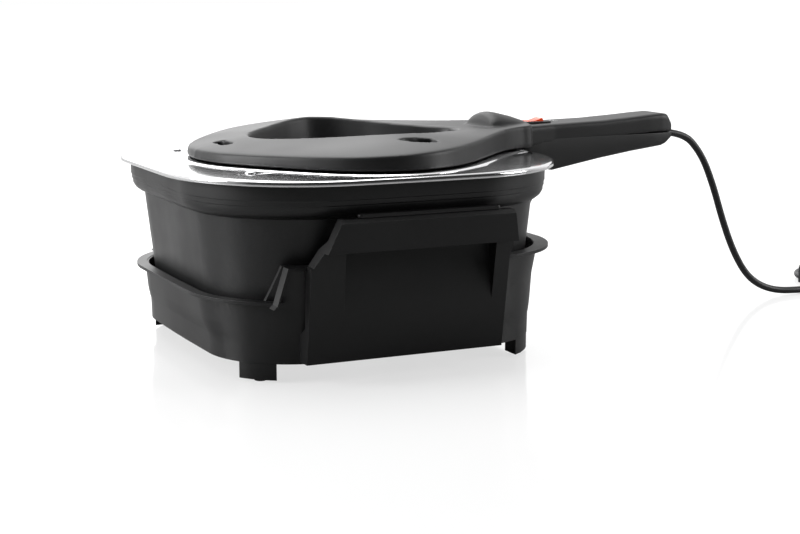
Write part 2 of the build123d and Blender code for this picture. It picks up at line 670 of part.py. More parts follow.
# Wiring in the handle
relief_end = handle_end_x + relief_out
relief_start = relief_end - relief_length
inner_start = handle_end_x - 37
block_z = 152.0
add("terminal_block", block(220, 240, -9, 9, block_z, block_z + 11))
wire_radius = 1.1
wire_z = 168.5
live_points = [(tube_end_x + 3.5, -tube_end_y, tube_end_z + 2), (152, -11, tube_end_z + 2.5),
               (164, -12.5, tube_end_z + 1), (176, -12.5, wire_z - 6), (206, -12.5, wire_z - 5),
               (219.2, -6, block_z + 6)]
neutral_points = [(x, -y, z) for x, y, z in live_points]
add("live_lead", tube(live_points, [8, 8, 8, 8], wire_radius))
add("neutral_lead", tube(neutral_points, [8, 8, 8, 8], wire_radius))
add("earth_lead", tube([(241.0, 0, block_z + 5), (252, 6.5, block_z + 7), (264, 9, block_z + 7.5),
                        (276, 7, exit_z - 2), (286, 1.5, exit_z), (inner_start - 0.2, 0, exit_z)], [7, 7, 7, 7], wire_radius))

# Mains lead: clamp, strain relief, free stretch, coil, tail and plug
inner_cord = Pos((inner_start + relief_start) / 2, 0, exit_z) * Rotation(0, 90, 0) * Cylinder(
    cord_radius, relief_start - inner_start)
add("inner_cord", inner_cord)
clamp = block(inner_start, inner_start + 6, -11, 11, exit_z - cord_radius, exit_z + 7)
clamp -= Pos(inner_start + 3, 0, exit_z) * Rotation(0, 90, 0) * Cylinder(cord_radius + 0.02, 20)
clamp &= handle_form(handle_wall + 0.2)
add("cord_clamp", clamp)
relief_line = Pos((relief_start + relief_end) / 2, 0, exit_z) * Rotation(0, 90, 0)
relief = relief_line * Cone(relief_radius - 0.1, cord_radius + 0.9, relief_end - relief_start)
relief -= relief_line * Cylinder(cord_radius, 60)
add("cord_strain_relief", relief)
cord_start = (relief_start, 0.0, exit_z)
floor_z = cord_radius
coil_z = cord_radius + tie_sheet + 0.2
coil_entry_y = coil_centre_y - coil_radius
cord_points = [cord_start, (350.0, 0.0, exit_z), (373.0, -0.5, 142.0), (387.0, -1.5, 111.0), (398.0, -2.5, 78.0),
               (411.0, -4.0, 46.0), (429.0, -5.0, 19.0), (456.0, -5.5, 5.0), (492.0, -8.5, floor_z),
               (530.0, coil_entry_y, coil_z), (coil_centre_x, coil_entry_y, coil_z)]


def route_radii(points):
    radii = []
    for a, b, c in zip(points, points[1:], points[2:]):
        before, after = Vector(*b) - Vector(*a), Vector(*c) - Vector(*b)
        turn = radians(before.get_angle(after))
        radii.append(0.45 * min(before.length, after.length) / tan(turn / 2))
    print("cord radii", [round(radius) for radius in radii])
    return radii


add("power_cord", tube(cord_points, route_radii(cord_points), cord_radius))

half_step = layer_step / 2


def coil_arcs():
    """Half turns that spiral inwards, climb one layer and spiral out again on top."""
    arcs = []
    x, y, z = coil_centre_x, coil_entry_y, coil_z
    side, radius = 1, coil_radius
    for _ in range(coil_half_turns_in):
        arcs.append(((x, y, z), (x + side * radius, y + side * radius, z), (x, y + side * 2 * radius, z)))
        y += side * 2 * radius
        side, radius = -side, radius - half_step
    slant = sqrt(radius ** 2 + (layer_step / 2) ** 2)
    middle = (x + side * slant, y + side * radius, z + layer_step / 2)
    arcs.append(((x, y, z), None, middle))
    arcs.append((middle, None, (x, y + side * 2 * radius, z + layer_step)))
    y += side * 2 * radius
    z += layer_step
    side, radius = -side, radius + half_step
    for _ in range(coil_half_turns_out):
        arcs.append(((x, y, z), (x + side * radius, y + side * radius, z), (x, y + side * 2 * radius, z)))
        y += side * 2 * radius
        side, radius = -side, radius + half_step
    return arcs, (x, y, z)


arcs, coil_exit = coil_arcs()
edges = []
for start, middle, end in arcs:
    if middle is None:
        edges.append(TangentArc(start, end, tangent=edges[-1] % 1))
    else:
        edges.append(ThreePointArc(start, middle, end))
coil_path = Wire(edges)
coil_section = Plane(origin=cord_points[-1], z_dir=(1, 0, 0)) * Circle(cord_radius)
coil = sweep(coil_section, path=coil_path)
samples = [coil_path @ (k / 600) for k in range(601)]
reach = int(600 * 4 * cord_diameter / coil_path.length)
least = min((samples[a] - samples[b]).length for a in range(601) for b in range(a + reach, 601))
print(f"coil length {coil_path.length:.1f} volume ratio {coil.volume / (pi * cord_radius ** 2 * coil_path.length):.4f}"
      f" least gap {least - cord_diameter:.2f} exit {coil_exit} heading {coil_path % 1}")
add("cord_coil", coil)

bundle_left = coil_centre_x - coil_radius - cord_radius - 0.4
bundle_right = coil_centre_x - coil_radius + 2 * layer_step + half_step + cord_radius + 3.4
bundle_top = coil_z + layer_step + cord_radius + 0.2
tie = (block(bundle_left - tie_sheet, bundle_right + tie_sheet, coil_centre_y - tie_width / 2,
             coil_centre_y + tie_width / 2, 0, bundle_top + tie_sheet)
       - block(bundle_left, bundle_right, coil_centre_y - 20, coil_centre_y + 20, tie_sheet, bundle_top))
add("coil_tie", tie)

heading = 1 if (coil_path % 1).X > 0 else -1
plug_axis_z = plug_radius
plug_start = (coil_exit[0] + heading * 96, coil_exit[1] - 3.0, plug_axis_z)
tail_points = [coil_exit, (coil_exit[0] + heading * 20, coil_exit[1], coil_exit[2]),
               (coil_exit[0] + heading * 48, coil_exit[1] - 2.0, coil_exit[2] + 4),
               (plug_start[0] - heading * 18, plug_start[1], plug_axis_z), plug_start]
add("cord_tail", tube(tail_points, route_radii(tail_points), cord_radius))


def along_plug(x, radius, length):
    return Pos(plug_start[0] + heading * (x + length / 2), plug_start[1], plug_axis_z) * Rotation(0, 90, 0) * Cylinder(
        radius, length)


def plug_ring(x, radius):
    return Plane(origin=(plug_start[0] + heading * x, plug_start[1], plug_axis_z), z_dir=(heading, 0, 0)) * Circle(radius)


plug = loft([plug_ring(0, 5.5), plug_ring(9, 8), plug_ring(17, 13.5), plug_ring(plug_length - 15, plug_radius - 1),
             plug_ring(plug_length - 11, plug_radius)], ruled=True)
plug += along_plug(plug_length - 11, plug_radius, 11)
clips = []
for side in (-1, 1):
    groove = Pos(plug_start[0] + heading * (plug_length - 6), plug_start[1] + side * (plug_radius - 0.8),
                 plug_axis_z) * Box(12.02, 2.4, 5)
    plug -= groove
    clip = Pos(plug_start[0] + heading * (plug_length - 6), plug_start[1] + side * (plug_radius - 1.4),
               plug_axis_z) * Box(11, 1.2, 4.4)
    clips.append(clip.solid())
pins = []
for side in (-1, 1):
    pin = Pos(0, side * pin_spacing / 2, 0) * along_plug(plug_length, pin_radius, pin_length)
    pins.append(pin.solid())
add("plug_body", plug)
add("plug_pins", Compound(pins))
add("plug_earth_clips", Compound(clips))

for name, solid in nodes.items():
    moved = Pos(-origin_x, 0, 0) * solid
    export_step(moved, f"parts/{name}.step")
print("origin shift", -origin_x, "nodes", len(nodes))
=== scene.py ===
import math

import bmesh
import bpy
from mathutils import Matrix, Vector


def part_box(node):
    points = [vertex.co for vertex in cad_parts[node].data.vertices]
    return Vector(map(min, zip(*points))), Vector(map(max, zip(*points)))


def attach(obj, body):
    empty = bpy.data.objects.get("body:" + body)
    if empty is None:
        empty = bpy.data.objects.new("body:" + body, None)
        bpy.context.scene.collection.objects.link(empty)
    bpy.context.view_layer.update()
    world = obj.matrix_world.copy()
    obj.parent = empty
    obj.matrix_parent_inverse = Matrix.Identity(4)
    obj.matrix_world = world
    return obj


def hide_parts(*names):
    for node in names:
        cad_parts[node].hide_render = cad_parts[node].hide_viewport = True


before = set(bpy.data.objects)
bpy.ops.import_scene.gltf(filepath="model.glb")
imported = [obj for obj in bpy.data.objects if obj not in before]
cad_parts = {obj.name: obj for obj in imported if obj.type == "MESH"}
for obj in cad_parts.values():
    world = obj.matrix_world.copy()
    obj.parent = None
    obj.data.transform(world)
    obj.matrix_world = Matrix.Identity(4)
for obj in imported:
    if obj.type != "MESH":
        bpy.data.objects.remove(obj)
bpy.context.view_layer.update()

mm = 0.001
mergeGap = 0.000001
lidLow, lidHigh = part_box("lid_shell")
potCentreX = (lidLow[0] + lidHigh[0]) / 2   # the pot's middle stands off the frame's origin


def at(x, y, z):
    # millimetres about the pot's centre to metres in the frame
    return Vector((potCentreX + x * mm, y * mm, z * mm))


def addToScene(name, data):
    item = bpy.data.objects.new(name, data)
    bpy.context.scene.collection.objects.link(item)
    return item


# Camera, at the photograph's angle
view = {"azimuth": -25.35, "elevation": 9.96, "distance": 1.505, "target": (79.4, 38.1, 49.35),
        "lens": 75.87, "sensor": 36.0, "near": 0.05, "far": 60.0}


def placeCamera():
    turn, rise = math.radians(view["azimuth"]), math.radians(view["elevation"])
    flat = math.cos(rise)
    back = Vector((math.sin(turn) * flat, -math.cos(turn) * flat, math.sin(rise)))
    data = bpy.data.cameras.new("camera")
    data.lens, data.sensor_width = view["lens"], view["sensor"]
    data.clip_start, data.clip_end = view["near"], view["far"]
    camera = addToScene("camera", data)
    camera.location = at(*view["target"]) + back * view["distance"]
    camera.rotation_euler = back.to_track_quat("Z", "Y").to_euler()
    bpy.context.scene.camera = camera


placeCamera()
print("camera placed")


# Shared shader groups
groupForm = {"cloudLow": 0.3, "cloudHigh": 0.7, "grainDetail": 3, "cloudDetail": 2, "smearScale": 9}


def newGroup(name, inputs, outputs):
    group = bpy.data.node_groups.new(name, "ShaderNodeTree")
    for label, kind, value in inputs:
        socket = group.interface.new_socket(name=label, in_out="INPUT", socket_type=kind)
        socket.default_value = value
    for label, kind in outputs:
        group.interface.new_socket(name=label, in_out="OUTPUT", socket_type=kind)
    return group, group.nodes.new("NodeGroupInput"), group.nodes.new("NodeGroupOutput")


def spreadGloss(group, source, start, end):
    # turns a slow noise into a roughness between the group's two values
    gloss = group.nodes.new("ShaderNodeMapRange")
    gloss.inputs["From Min"].default_value = groupForm["cloudLow"]
    gloss.inputs["From Max"].default_value = groupForm["cloudHigh"]
    group.links.new(source, gloss.inputs["Value"])
    group.links.new(start.outputs["Rough Low"], gloss.inputs["To Min"])
    group.links.new(start.outputs["Rough High"], gloss.inputs["To Max"])
    group.links.new(gloss.outputs["Result"], end.inputs["Roughness"])


def buildGrainGroup():
    # fine moulded or cast grain, with slow changes of gloss and a faint tint
    group, start, end = newGroup("fineGrain", [
        ("Grain", "NodeSocketFloat", 900.0), ("Cloud", "NodeSocketFloat", 12.0),
        ("Rough Low", "NodeSocketFloat", 0.4), ("Rough High", "NodeSocketFloat", 0.55),
        ("Base", "NodeSocketColor", (0.02, 0.02, 0.02, 1)),
        ("Worn", "NodeSocketColor", (0.03, 0.03, 0.03, 1))],
        [("Color", "NodeSocketColor"), ("Roughness", "NodeSocketFloat"),
         ("Height", "NodeSocketFloat")])
    nodes, links = group.nodes, group.links
    place = nodes.new("ShaderNodeTexCoord")
    grain, cloud = nodes.new("ShaderNodeTexNoise"), nodes.new("ShaderNodeTexNoise")
    grain.inputs["Detail"].default_value = groupForm["grainDetail"]
    cloud.inputs["Detail"].default_value = groupForm["cloudDetail"]
    for noiseNode, label in ((grain, "Grain"), (cloud, "Cloud")):
        links.new(place.outputs["Object"], noiseNode.inputs["Vector"])
        links.new(start.outputs[label], noiseNode.inputs["Scale"])
    spreadGloss(group, cloud.outputs["Fac"], start, end)
    tint = nodes.new("ShaderNodeMix")
    tint.data_type = "RGBA"
    links.new(grain.outputs["Fac"], tint.inputs["Factor"])
    links.new(start.outputs["Base"], tint.inputs[6])    # 6 and 7 are the two colours
    links.new(start.outputs["Worn"], tint.inputs[7])
    links.new(tint.outputs[2], end.inputs["Color"])
    links.new(grain.outputs["Fac"], end.inputs["Height"])
    return group


def buildBrushGroup():
    # drawn or polished metal: long faint lines and slow smears
    group, start, end = newGroup("drawnMetal", [
        ("Lines", "NodeSocketFloat", 600.0), ("Stretch", "NodeSocketVector", (1.0, 0.02, 1.0)),
        ("Rough Low", "NodeSocketFloat", 0.08), ("Rough High", "NodeSocketFloat", 0.16)],
        [("Roughness", "NodeSocketFloat"), ("Height", "NodeSocketFloat")])
    nodes, links = group.nodes, group.links
    place, stretch = nodes.new("ShaderNodeTexCoord"), nodes.new("ShaderNodeVectorMath")
    stretch.operation = "MULTIPLY"
    links.new(place.outputs["Object"], stretch.inputs[0])
    links.new(start.outputs["Stretch"], stretch.inputs[1])
    lines, smear = nodes.new("ShaderNodeTexNoise"), nodes.new("ShaderNodeTexNoise")
    links.new(stretch.outputs["Vector"], lines.inputs["Vector"])
    links.new(start.outputs["Lines"], lines.inputs["Scale"])
    links.new(place.outputs["Object"], smear.inputs["Vector"])
    smear.inputs["Scale"].default_value = groupForm["smearScale"]
    spreadGloss(group, smear.outputs["Fac"], start, end)
    links.new(lines.outputs["Fac"], end.inputs["Height"])
    return group


grainGroup = buildGrainGroup()
brushGroup = buildBrushGroup()


def newMaterial(name):
    material = bpy.data.materials.new(name)
    material.use_nodes = True
    tree = material.node_tree
    return material, tree.nodes, tree.links, tree.nodes["Principled BSDF"]


def setSockets(node, values):
    for label, value in values.items():
        node.inputs[label].default_value = value


def setGroup(nodes, group, values):
    node = nodes.new("ShaderNodeGroup")
    node.node_tree = group
    setSockets(node, values)
    return node


def addBump(nodes, links, shader, height, strength, distance):
    bump = nodes.new("ShaderNodeBump")
    setSockets(bump, {"Strength": strength, "Distance": distance})
    links.new(height, bump.inputs["Height"])
    links.new(bump.outputs["Normal"], shader.inputs["Normal"])


def grainMaterial(name, base, worn, rough, grain=900.0, cloud=12.0, bump=0.25, depth=0.00008,
                  extra=None):
    material, nodes, links, shader = newMaterial(name)
    group = setGroup(nodes, grainGroup, {
        "Grain": grain, "Cloud": cloud, "Rough Low": rough[0], "Rough High": rough[1],
        "Base": (*base, 1), "Worn": (*worn, 1)})
    links.new(group.outputs["Color"], shader.inputs["Base Color"])
    links.new(group.outputs["Roughness"], shader.inputs["Roughness"])
    addBump(nodes, links, shader, group.outputs["Height"], bump, depth)
    setSockets(shader, extra or {})
    return material


def metalMaterial(name, color, rough, bump=0.05, depth=0.00002):
    material, nodes, links, shader = newMaterial(name)
    setSockets(shader, {"Base Color": (*color, 1), "Metallic": 1})
    group = setGroup(nodes, brushGroup, {"Rough Low": rough[0], "Rough High": rough[1]})
    links.new(group.outputs["Roughness"], shader.inputs["Roughness"])
    addBump(nodes, links, shader, group.outputs["Height"], bump, depth)
    return material


def glassMaterial():
    material, nodes, links, shader = newMaterial("windowGlass")
    setSockets(shader, {"Base Color": (0.93, 0.97, 0.96, 1), "Transmission Weight": 1, "IOR": 1.5})
    group = setGroup(nodes, grainGroup, {"Grain": 60.0, "Rough Low": 0.01, "Rough High": 0.03})
    links.new(group.outputs["Roughness"], shader.inputs["Roughness"])
    return material


finishes = {
    "stand": grainMaterial("standPlastic", (0.0050, 0.0051, 0.0055), (0.0078, 0.0079, 0.0084),
                           (0.36, 0.46), grain=1500.0, bump=0.30, depth=0.00006),
    "cover": grainMaterial("coverPlastic", (0.0075, 0.0076, 0.0081), (0.0105, 0.0106, 0.0112),
                           (0.44, 0.52), grain=1700.0, bump=0.18, depth=0.00005),
    "pot": grainMaterial("potCoating", (0.0055, 0.0056, 0.006), (0.020, 0.0203, 0.021),
                         (0.34, 0.46), grain=1100.0, cloud=20.0, bump=0.35),
    "lid": metalMaterial("polishedSteel", (0.90, 0.90, 0.91), (0.07, 0.12)),
    "steel": metalMaterial("plainSteel", (0.60, 0.60, 0.61), (0.22, 0.34), bump=0.1),
    "heater": metalMaterial("heaterSteel", (0.30, 0.27, 0.24), (0.35, 0.5), bump=0.2),
    "brass": metalMaterial("contactMetal", (0.72, 0.6, 0.36), (0.2, 0.3)),
    "pins": metalMaterial("pinMetal", (0.72, 0.72, 0.73), (0.12, 0.22)),
    "glass": glassMaterial(),
    "silicone": grainMaterial("blackSilicone", (0.012, 0.012, 0.012), (0.018, 0.018, 0.018),
                              (0.5, 0.62)),
    "rubber": grainMaterial("blackRubber", (0.01, 0.01, 0.01), (0.02, 0.02, 0.02), (0.6, 0.75),
                            grain=600.0),
    "cord": grainMaterial("cordSheath", (0.011, 0.011, 0.012), (0.016, 0.016, 0.017),
                          (0.36, 0.46), grain=700.0),
    # the rocker's red carries a faint painted glow through its emission
    "red": grainMaterial("rockerRedPaintedGlow", (0.80, 0.06, 0.012), (0.95, 0.13, 0.02), (0.16, 0.24),
                         grain=300.0, bump=0.03,
                         extra={"Transmission Weight": 0.25, "IOR": 1.49,
                                "Emission Color": (1.0, 0.1, 0.01, 1),
                                "Emission Strength": 0.12}),
    "cream": grainMaterial("terminalPlastic", (0.70, 0.68, 0.60), (0.78, 0.76, 0.68), (0.4, 0.5)),
    "brown": grainMaterial("wireBrown", (0.13, 0.05, 0.02), (0.17, 0.06, 0.025), (0.35, 0.45)),
    "blue": grainMaterial("wireBlue", (0.02, 0.07, 0.42), (0.03, 0.09, 0.5), (0.35, 0.45)),
    "green": grainMaterial("wireGreen", (0.10, 0.36, 0.03), (0.62, 0.55, 0.03), (0.35, 0.45),
                           grain=180.0),
    "print": grainMaterial("whitePrint", (0.72, 0.72, 0.72), (0.8, 0.8, 0.8), (0.5, 0.6)),
}
finishedNodes = {
    "stand": ("stand_shell", "front_grip_pad", "rear_grip_pad"),
    "cover": ("lid_cover", "handle_base", "handle_hood", "switch_frame", "switch_body",
              "cord_clamp", "coil_tie"),
    "pot": ("pot_body",),
    "lid": ("lid_shell",),
    "steel": ("window_sleeve", "reflector_pan", "heater_clips", "thermal_cutout", "lid_screws",
              "cover_screws", "handle_screws", "lid_hook"),
    "heater": ("heater_tube",),
    "brass": ("heater_terminals", "switch_tabs"),
    "pins": ("plug_pins", "plug_earth_clips"),
    "glass": ("window_glass",),
    "silicone": ("window_gasket",),
    "rubber": ("foot_pads",),
    "cord": ("inner_cord", "cord_strain_relief", "power_cord", "cord_coil", "cord_tail",
             "plug_body"),
    "red": ("switch_rocker",),
    "cream": ("terminal_block",),
    "brown": ("live_lead",),
    "blue": ("neutral_lead",),
    "green": ("earth_lead",)}

# Edges of the solids that stay in view, rounded by their widths in millimetres
softEdges = {"stand_shell": 0.9, "front_grip_pad": 0.9, "rear_grip_pad": 0.9, "switch_frame": 0.5,
             "switch_rocker": 0.5, "plug_body": 1.2, "plug_pins": 0.8, "coil_tie": 0.25,
             "foot_pads": 0.6, "terminal_block": 0.6, "heater_clips": 0.5}
lightEdges = ("pot_body", "heater_tube", "lid_hook", "inner_cord", "live_lead", "neutral_lead",
              "earth_lead", "window_glass", "window_gasket", "window_sleeve", "reflector_pan")
softening = {"weld": 0.00001, "flatAngle": 0.6, "segments": 2, "angle": 28,
             "lightWidth": 0.3, "lightSegments": 1, "lightAngle": 35}


def softenNode(name, width, segments, angle):
    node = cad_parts[name]
    weld = node.modifiers.new("weld", "WELD")
    weld.merge_threshold = softening["weld"]
    flat = node.modifiers.new("dissolve", "DECIMATE")
    flat.decimate_type = "DISSOLVE"
    flat.angle_limit = math.radians(softening["flatAngle"])
    bevel = node.modifiers.new("bevel", "BEVEL")
    bevel.width, bevel.segments, bevel.limit_method = width * mm, segments, "ANGLE"
    bevel.angle_limit = math.radians(angle)
    normals = node.modifiers.new("normals", "WEIGHTED_NORMAL")
    normals.keep_sharp = False
    setSmooth(node, True)


def setSmooth(piece, smooth):
    for face in piece.data.polygons:
        face.use_smooth = smooth


for finish, names in finishedNodes.items():
    for name in names:
        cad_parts[name].data.materials.clear()
        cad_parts[name].data.materials.append(finishes[finish])
for name, width in softEdges.items():
    softenNode(name, width, softening["segments"], softening["angle"])
for name in lightEdges:
    softenNode(name, softening["lightWidth"], softening["lightSegments"], softening["lightAngle"])
print("materials placed")


# Shared mesh helpers
def newPiece(name, bm):
    bmesh.ops.remove_doubles(bm, verts=bm.verts, dist=mergeGap)
    bmesh.ops.recalc_face_normals(bm, faces=bm.faces)
    data = bpy.data.meshes.new(name)
    bm.to_mesh(data)
    bm.free()
    return addToScene(name, data)


def finishPiece(piece, finish, replaced=(), smooth=True):
    # every new piece belongs to the lid
    setSmooth(piece, smooth)
    piece.data.materials.append(finishes[finish])
    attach(piece, "lid")
    if replaced:
        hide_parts(*replaced)


def smoothLine(points, count, steps=24):
    # count places evenly spaced along a smooth line through the points
    dense = []
    for k, (first, second) in enumerate(zip(points, points[1:])):
        a, b = Vector(first), Vector(second)
        before = Vector(points[k - 1]) if k else a * 2 - b
        after = Vector(points[k + 2]) if k + 2 < len(points) else b * 2 - a
        for step in range(steps):
            t = step / steps
            square, cube = 2 * before - 5 * a + 4 * b - after, 3 * a - before - 3 * b + after
            dense.append(0.5 * (2 * a + (b - before) * t + square * t ** 2 + cube * t ** 3))
    dense.append(Vector(points[-1]))
    runs = [0.0]
    for a, b in zip(dense, dense[1:]):
        runs.append(runs[-1] + (b - a).length)
    places, k = [], 0
    for step in range(count):
        goal = runs[-1] * step / (count - 1)
        while k < len(runs) - 2 and runs[k + 1] < goal:
            k += 1
        span = runs[k + 1] - runs[k]
        places.append(dense[k].lerp(dense[k + 1], (goal - runs[k]) / span if span else 0))
    return places


def closedOutline(half, count):
    # mirrored outline from its half above the middle line, as (x, y) in millimetres
    upper = smoothLine(half, count)
    return upper + [Vector((p.x, -p.y)) for p in reversed(upper[1:-1])]


def clockwise(k, count):
    return math.pi - 2 * math.pi * k / count


def roundedRing(halfX, halfY, corner, bowX, bowY, count, halvings=30):
    # bowed rounded rectangle, run from its left middle like the outlines above
    def holds(x, y):
        edgeX = halfX - bowX * min(1, y / (halfY - bowY)) ** 2
        edgeY = halfY - bowY * min(1, x / (halfX - bowX)) ** 2
        dx, dy = x - (edgeX - corner), y - (edgeY - corner)
        return x < edgeX and y < edgeY and (dx < 0 or dy < 0 or math.hypot(dx, dy) < corner)

    places = []
    for k in range(count):
        c, s = math.cos(clockwise(k, count)), math.sin(clockwise(k, count))
        low, high = 0.0, 2.0 * max(halfX, halfY)
        for _ in range(halvings):
            r = (low + high) / 2
            low, high = (r, high) if holds(abs(r * c), abs(r * s)) else (low, r)
        places.append(Vector((low * c, low * s)))
    return places


def bridgeLevels(bm, levels):
    # the first ring is extruded level by level, each new ring is moved to its place, and the
    # last is joined to the first
    ring = [bm.verts.new(at(p.x, p.y, z)) for p, z in levels[0]]
    edges = [bm.edges.new((a, b)) for a, b in zip(ring, ring[1:] + ring[:1])]
    startEdges = list(edges)
    for places in levels[1:]:
        grown = bmesh.ops.extrude_edge_only(bm, edges=edges)["geom"]
        fresh = {item for item in grown if isinstance(item, bmesh.types.BMVert)}
        edges = [item for item in grown
                 if isinstance(item, bmesh.types.BMEdge) and all(v in fresh for v in item.verts)]
        ring = [next(e.other_vert(v) for e in v.link_edges if e.other_vert(v) in fresh)
                for v in ring]
        for vertex, (p, z) in zip(ring, places):
            vertex.co = at(p.x, p.y, z)
    bmesh.ops.bridge_loops(bm, edges=startEdges + edges)


def level(outline, z):
    return [(p, z(p) if callable(z) else z) for p in outline]


def blendLevels(outer, inner, shares, z):
    return [level([a.lerp(b, share) for a, b in zip(outer, inner)], z) for share in shares]


def inset(outline, amount):
    # moves a closed outline inwards along its own normals
    size = len(outline)
    moved = []
    for k in range(size):
        along = outline[(k + 1) % size] - outline[k - 1]
        normal = Vector((along.y, -along.x)).normalized()
        moved.append(outline[k] + normal * amount)
    return moved


# Cover outlines, in millimetres about the pot's centre; the half above the middle line is listed
coverForm = {
    "outer": [(-123.5, 0), (-121, 22), (-114, 46), (-99, 72), (-82, 96), (-64, 118), (-46, 135),
              (-26, 146), (-4, 151.5), (20, 149.5), (44, 139), (69, 120), (94, 95), (117, 71),
              (138, 52), (156, 42), (172, 36), (180, 0)],
    "opening": [(-73, 0), (-71, 13), (-65, 26), (-55, 39), (-41, 52), (-25, 66), (-7, 79),
                (13, 87), (33, 82), (52, 67), (70, 49), (86, 34), (99, 23), (109, 13), (115.5, 0)],
    "crest": ((-123, 171.5), (-73, 175.4), (-41, 177.9), (-7, 181.0), (13, 182.0), (33, 181.4),
              (70, 177.8), (99, 175.6), (116, 175.2), (180, 176.4)),
    "count": 110, "low": 159.5, "skirtLeft": 7.6, "skirtGain": 0.039, "slope": 1.4,
    "foot": ((1.0, 0.0), (0.0, 0.8)),                       # inset, height over the low edge
    "skirtDrop": 0.5, "skirtRound": 0.9, "skirtRise": 0.3,
    "crownEnd": -4.0, "crownPower": 0.78,
    "crownShares": (0.06, 0.14, 0.25, 0.4, 0.55, 0.7, 0.85, 0.95),
    "lip": ((-2.4, 0.2), (-1.0, -0.2), (0.0, -1.6)),         # inset, height over the crest
    "wallLean": 3.2}
coverOuter = closedOutline(coverForm["outer"], coverForm["count"])
coverOpening = closedOutline(coverForm["opening"], coverForm["count"])

# Lid: one polished sheet with a rolled edge, a plateau under the cover and two screw dimples
lidForm = {
    "halfX": 165.0, "halfY": 169.5, "corner": 106.0, "bowX": 3.2, "bowY": 8.4,
    "top": 157.2, "skirt": 152.9, "plateau": 158.6, "margin": 7.0, "border": 9,
    "thickness": 1.2, "window": 38.0, "windowX": 10.0,
    "rolled": ((1.1, 0.15), (0.5, 0.0), (0.12, 0.25), (0.0, 0.8)),    # inset, over the skirt
    "shoulder": ((0.0, 1.9), (0.2, 1.2), (0.75, 0.5), (1.6, 0.1), (2.6, 0.0)),   # under the top
    "sheetShares": (0.1, 0.2, 0.3, 0.4, 0.5, 0.6, 0.7, 0.8, 0.88, 0.94),
    "step": ((-1.8, 0.04), (-1.0, 0.2), (-0.2, 0.55), (0.6, 0.82), (1.4, 0.96), (2.4, 1.0)),
    "plateauShares": (0.15, 0.35, 0.55, 0.75, 0.9, 1.0), "underShares": (0.3, 0.6, 1.0),
    "innerRim": 13.0, "innerEdge": 1.2, "innerDrop": 3.2,
    "screws": ((-108.8, 92.5), (-108.8, -92.5)),
    "dimpleLong": 17.0, "dimpleShort": 10.0, "dimpleDepth": 1.3, "dimpleFrom": 0.3}


def pressDimples(bm):
    f = lidForm
    for vertex in bm.verts:
        x, y, z = (vertex.co.x - potCentreX) / mm, vertex.co.y / mm, vertex.co.z / mm
        if z < f["top"] - f["dimpleFrom"]:
            continue
        for screwX, screwY in f["screws"]:
            far = math.hypot((x - screwX) / f["dimpleLong"], (y - screwY) / f["dimpleShort"])
            if far < 1:
                vertex.co.z -= f["dimpleDepth"] * (0.5 + 0.5 * math.cos(math.pi * far)) * mm


def buildLid():
    f = lidForm
    top, skirt, under = f["top"], f["skirt"], f["top"] - f["thickness"]
    size = len(coverOuter)
    rim = roundedRing(f["halfX"], f["halfY"], f["corner"], f["bowX"], f["bowY"], size)
    plateau = [p * min(1.0, (q.length - f["border"]) / p.length)    # it stays inside the rim
               for p, q in zip(inset(coverOuter, -f["margin"]), rim)]
    window = [Vector((f["windowX"] + f["window"] * math.cos(clockwise(k, size)),
                      f["window"] * math.sin(clockwise(k, size)))) for k in range(size)]
    innerRim = inset(rim, f["innerRim"])
    levels = [level(inset(rim, amount), skirt + rise) for amount, rise in f["rolled"]]
    levels += [level(inset(rim, amount), top - drop) for amount, drop in f["shoulder"]]
    start = inset(rim, f["shoulder"][-1][0])
    levels += blendLevels(start, plateau, f["sheetShares"], top)
    levels += [level(inset(plateau, amount), top + (f["plateau"] - top) * part)
               for amount, part in f["step"]]
    inner = inset(plateau, f["step"][-1][0])
    levels += blendLevels(inner, window, f["plateauShares"], f["plateau"])
    levels.append(level(window, under))
    levels += blendLevels(window, innerRim, f["underShares"], under)
    levels.append(level(innerRim, top - f["innerDrop"]))
    levels.append(level(inset(rim, f["innerEdge"]), top - f["innerDrop"]))
    bm = bmesh.new()
    bridgeLevels(bm, levels)
    pressDimples(bm)
    finishPiece(newPiece("lid_sheet", bm), "lid", ["lid_shell"])


buildLid()
print("lid modelled")


# Cover: the ring flows into the handle, so both are made as one soft moulding.
# A handle section is x, half width, low and high; a hood section is x, half width and top
handleForm = {
    "sections": [(112, 48, 160, 174.4), (137, 36, 160, 175.4), (152, 30, 160, 175.9),
                 (168, 26, 158, 176.4), (186, 24, 160, 176.8), (202, 22.2, 161, 177.2),
                 (250, 21, 163, 178.2), (285, 19.8, 164, 180.2), (304, 19.2, 165.2, 181.6),
                 (318, 18.2, 165.2, 182.3), (324, 16.6, 165.2, 181.4), (331, 12.6, 165.2, 173.8)],
    "base": [(170, 25, 152, 165), (176, 24.4, 144, 165), (188, 23.4, 138.6, 165),
             (202, 22.2, 136, 165), (250, 21, 144, 165), (285, 19.8, 148.8, 165),
             (304, 19.2, 150.9, 165), (318, 18.2, 152.4, 165), (324, 16.6, 154.2, 165),
             (331, 12.6, 157.5, 165)],
    "topRound": 3.6, "topLowRound": 1.0, "baseRound": 0.5, "baseLowRound": 6.0, "baseGap": 0.3,
    "roundSteps": 4, "voxel": 1.25, "softness": 0.5, "smooth": 5}
hoodForm = {
    "sections": [(135.0, 21.0, 177.0), (136.5, 23.6, 182.5), (139, 24.4, 186.4),
                 (143, 24.6, 188.3), (147, 24.5, 188.7), (153, 24, 187.6), (166, 22.6, 184.4),
                 (176, 21, 181.0), (181, 20, 178.6), (183.5, 19, 176.4)],
    "low": 168.0, "foot": 5, "fullness": 0.8, "count": 20}
switchForm = {"x": 191.0, "length": 28.4, "width": 21.4, "low": 165.0}
